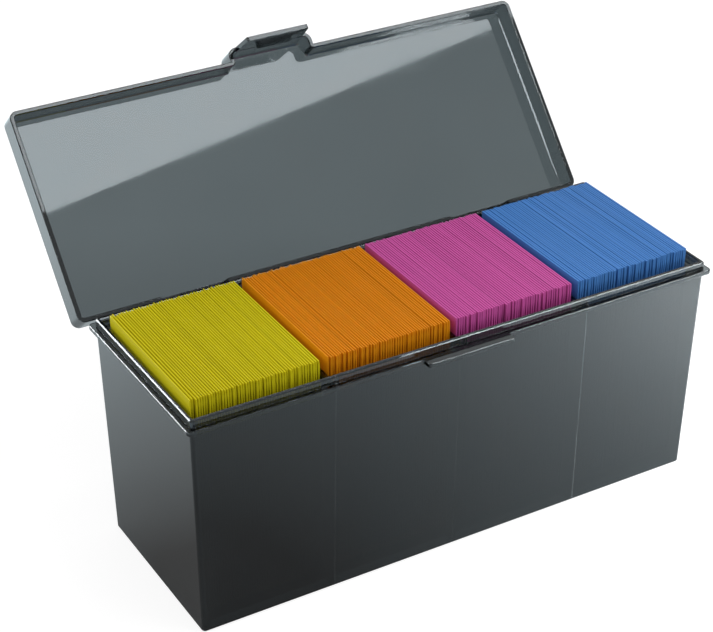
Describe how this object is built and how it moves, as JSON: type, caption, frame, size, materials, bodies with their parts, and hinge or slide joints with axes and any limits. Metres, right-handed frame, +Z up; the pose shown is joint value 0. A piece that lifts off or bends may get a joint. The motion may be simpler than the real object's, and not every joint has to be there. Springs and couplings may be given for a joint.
{
  "type": "card storage box",
  "caption": "Long tinted box with a hinged snap lid, slide-in partitions and coloured decks of sleeved cards that lift out.",
  "frame": {"origin": "centre of the tub's underside, on the ground", "axes": "+X along the box, +Y to the hinges at the rear, +Z up"},
  "size_m": [0.2272, 0.1619, 0.1629],
  "materials": {
    "smoke_plastic": "clear smoke-grey moulded plastic, glossy",
    "card_stock": "coated card",
    "yellow_film": "matt yellow sleeve film",
    "orange_film": "matt orange sleeve film",
    "magenta_film": "matt magenta sleeve film",
    "blue_film": "matt blue sleeve film"
  },
  "bodies": {
    "tub": {"tub": "smoke_plastic"},
    "lid": {"lid": "smoke_plastic"},
    "latch": {"latch_tongue": "smoke_plastic"},
    "left_partition": {"left_partition": "smoke_plastic"},
    "middle_partition": {"middle_partition": "smoke_plastic"},
    "right_partition": {"right_partition": "smoke_plastic"},
    "yellow_deck": {"yellow_sleeves": "yellow_film", "yellow_cards": "card_stock"},
    "orange_deck": {"orange_sleeves": "orange_film", "orange_cards": "card_stock"},
    "magenta_deck": {"magenta_sleeves": "magenta_film", "magenta_cards": "card_stock"},
    "blue_deck": {"blue_sleeves": "blue_film", "blue_cards": "card_stock"}
  },
  "joints": [
    {"name": "lid_hinge", "type": "hinge", "parent": "tub", "child": "lid", "pos_m": [0, 0.04479, 0.08825], "axis": [-1, 0, 0], "range_deg": [-131.5, 0]},
    {"name": "latch_flex", "type": "hinge", "parent": "lid", "child": "latch", "pos_m": [0, 0.10858, 0.15597], "axis": [-1, 0, 0], "range_deg": [0, 16], "stiffness_Nm_per_rad": 0.3},
    {"name": "left_partition_lift", "type": "slide", "parent": "tub", "child": "left_partition", "axis": [0, 0, 1], "range_m": [0, 0.09]},
    {"name": "middle_partition_lift", "type": "slide", "parent": "tub", "child": "middle_partition", "axis": [0, 0, 1], "range_m": [0, 0.09]},
    {"name": "right_partition_lift", "type": "slide", "parent": "tub", "child": "right_partition", "axis": [0, 0, 1], "range_m": [0, 0.09]},
    {"name": "yellow_deck_lift", "type": "slide", "parent": "tub", "child": "yellow_deck", "axis": [0, 0, 1], "range_m": [0, 0.1]},
    {"name": "orange_deck_lift", "type": "slide", "parent": "tub", "child": "orange_deck", "axis": [0, 0, 1], "range_m": [0, 0.1]},
    {"name": "magenta_deck_lift", "type": "slide", "parent": "tub", "child": "magenta_deck", "axis": [0, 0, 1], "range_m": [0, 0.1]},
    {"name": "blue_deck_lift", "type": "slide", "parent": "tub", "child": "blue_deck", "axis": [0, 0, 1], "range_m": [0, 0.1]}
  ]
}
